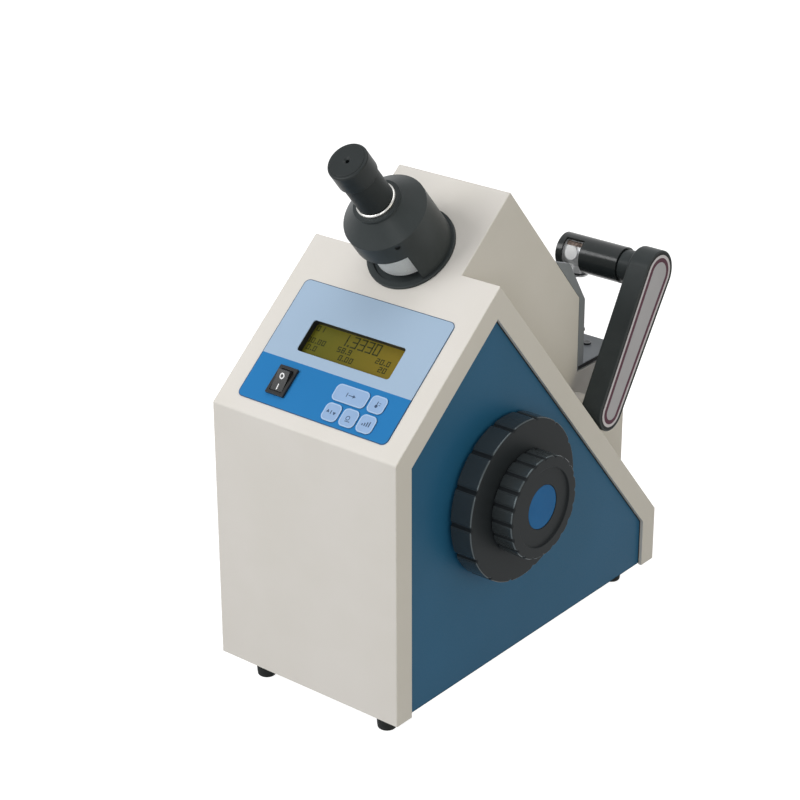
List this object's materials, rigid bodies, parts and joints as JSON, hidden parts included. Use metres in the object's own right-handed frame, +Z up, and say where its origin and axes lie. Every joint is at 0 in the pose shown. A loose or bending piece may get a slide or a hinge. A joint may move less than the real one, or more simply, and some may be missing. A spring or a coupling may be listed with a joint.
{
  "type": "digital refractometer",
  "caption": "Bench refractometer: wedge-shaped casing with a sloping panel, eyepiece, stepped side knob, hinged prism cover behind and a lamp on a swinging arm.",
  "frame": {"origin": "on the bench, midway between the four rubber feet", "axes": "+Z up; +X to the right, the knob side; -Y to the front, which the panel and eyepiece face"},
  "size_m": [0.2182, 0.355, 0.4436],
  "materials": {
    "painted_steel": "fine-grained cream paint on sheet steel",
    "blue_panel": "satin blue paint on sheet steel",
    "zinc_plate": "plated sheet steel",
    "rubber": "black rubber",
    "screw_steel": "plated screws",
    "overlay_film": "printed two-tone blue film",
    "black_plastic": "satin black plastic",
    "display_glass": "olive liquid-crystal glass",
    "board": "green circuit board",
    "blue_key": "light blue moulded keys",
    "black_metal": "satin black anodised or painted aluminium",
    "bright_metal": "turned aluminium",
    "lens": "polished lens glass",
    "mirror": "silvered glass",
    "brass": "machined brass",
    "steel_shaft": "ground steel",
    "knob_plastic": "black moulded plastic",
    "blue_disc": "blue disc",
    "dark_bracket": "dark grey paint on steel",
    "grey_inlay": "silver-grey printed plate",
    "core_steel": "laminated core and varnished coil"
  },
  "bodies": {
    "stand": {"main_casing": "painted_steel", "right_side_panel": "blue_panel", "left_side_panel": "blue_panel", "base_plate": "zinc_plate", "rubber_feet": "rubber", "screws": "screw_steel", "control_overlay": "overlay_film", "display_bezel": "black_plastic", "display_glass": "display_glass", "display_module": "board", "key_board": "board", "switch_housing": "black_plastic", "main_board": "board", "board_standoffs": "brass", "transformer": "core_steel", "mains_inlet": "black_plastic", "data_port": "zinc_plate", "eyepiece_flange": "black_metal", "eyepiece_hood": "black_metal", "lock_ring": "bright_metal", "telescope_tube": "black_metal", "objective_lens": "lens", "telescope_clamps": "bright_metal", "optical_plate": "bright_metal", "encoder_reader": "black_plastic", "knob_bush": "brass", "shelf_plate": "dark_bracket", "prism_bracket": "dark_bracket", "refracting_prism_box": "black_metal", "refracting_prism": "lens", "prism_hinge_pin": "steel_shaft", "arm_stud": "painted_steel"},
    "eyepiece": {"eyepiece_barrel": "black_metal", "eyepiece_cap": "black_plastic", "eyepiece_lenses": "lens"},
    "drum": {"dispersion_drum": "bright_metal"},
    "rocker": {"power_rocker": "black_plastic"},
    "coarse": {"coarse_knob": "knob_plastic", "coarse_shaft": "steel_shaft", "drive_pinion": "brass"},
    "fine": {"fine_knob": "knob_plastic", "fine_shaft": "steel_shaft", "knob_disc": "blue_disc"},
    "mirror": {"mirror_shaft": "steel_shaft", "turning_mirror": "mirror", "mirror_sector": "brass", "encoder_disc": "bright_metal"},
    "cover": {"illuminating_prism_box": "black_metal", "illuminating_prism": "lens"},
    "arm": {"lamp_arm": "black_metal", "arm_inlay": "grey_inlay"},
    "lamp": {"lamp_tube": "black_metal", "lens_holder": "bright_metal", "condenser_lens": "lens", "lamp_cell": "bright_metal"},
    "wide_key": {"wide_key": "blue_key"},
    "upper_key": {"upper_key": "blue_key"},
    "left_key": {"left_key": "blue_key"},
    "middle_key": {"middle_key": "blue_key"},
    "right_key": {"right_key": "blue_key"}
  },
  "joints": [
    {"name": "eyepiece_focus", "type": "hinge", "parent": "stand", "child": "eyepiece", "pos_m": [0, -0.08255, 0.39211], "axis": [0, -0.6388, 0.7694], "range_deg": [-160, 160]},
    {"name": "dispersion_turn", "type": "hinge", "parent": "stand", "child": "drum", "pos_m": [0, -0.05445, 0.35825], "axis": [0, -0.6388, 0.7694], "continuous": true},
    {"name": "power_tilt", "type": "hinge", "parent": "stand", "child": "rocker", "pos_m": [-0.04005, -0.14818, 0.26029], "axis": [-1, 0, 0], "range_deg": [0, 26]},
    {"name": "coarse_turn", "type": "hinge", "parent": "stand", "child": "coarse", "pos_m": [0.098, -0.04291, 0.1667], "axis": [1, 0, 0], "range_deg": [-80, 80]},
    {"name": "fine_turn", "type": "hinge", "parent": "coarse", "child": "fine", "pos_m": [0.118, -0.04291, 0.1667], "axis": [1, 0, 0], "continuous": true},
    {"name": "mirror_turn", "type": "hinge", "parent": "stand", "child": "mirror", "pos_m": [0.022, 0.07849, 0.18651], "axis": [1, 0, 0], "range_deg": [-8.7, 8.7]},
    {"name": "cover_open", "type": "hinge", "parent": "stand", "child": "cover", "pos_m": [0, 0.14481, 0.22952], "axis": [-1, 0, 0], "range_deg": [0, 110]},
    {"name": "arm_swing", "type": "hinge", "parent": "stand", "child": "arm", "pos_m": [0.076, 0.1008, 0.18404], "axis": [-1, 0, 0], "range_deg": [-8, 75]},
    {"name": "lamp_turn", "type": "hinge", "parent": "arm", "child": "lamp", "pos_m": [0.076, 0.16207, 0.28442], "axis": [-1, 0, 0], "range_deg": [-60, 75]},
    {"name": "wide_key_press", "type": "slide", "parent": "stand", "child": "wide_key", "axis": [0, 0.6388, -0.7694], "range_m": [0, 0.0006], "stiffness_N_per_m": 150, "springref_m": -0.001},
    {"name": "upper_key_press", "type": "slide", "parent": "stand", "child": "upper_key", "axis": [0, 0.6388, -0.7694], "range_m": [0, 0.0006], "stiffness_N_per_m": 150, "springref_m": -0.001},
    {"name": "left_key_press", "type": "slide", "parent": "stand", "child": "left_key", "axis": [0, 0.6388, -0.7694], "range_m": [0, 0.0006], "stiffness_N_per_m": 150, "springref_m": -0.001},
    {"name": "middle_key_press", "type": "slide", "parent": "stand", "child": "middle_key", "axis": [0, 0.6388, -0.7694], "range_m": [0, 0.0006], "stiffness_N_per_m": 150, "springref_m": -0.001},
    {"name": "right_key_press", "type": "slide", "parent": "stand", "child": "right_key", "axis": [0, 0.6388, -0.7694], "range_m": [0, 0.0006], "stiffness_N_per_m": 150, "springref_m": -0.001}
  ],
  "couplings": [
    {"joint": "mirror_turn", "follows": "coarse_turn", "ratio": -0.10811}
  ]
}
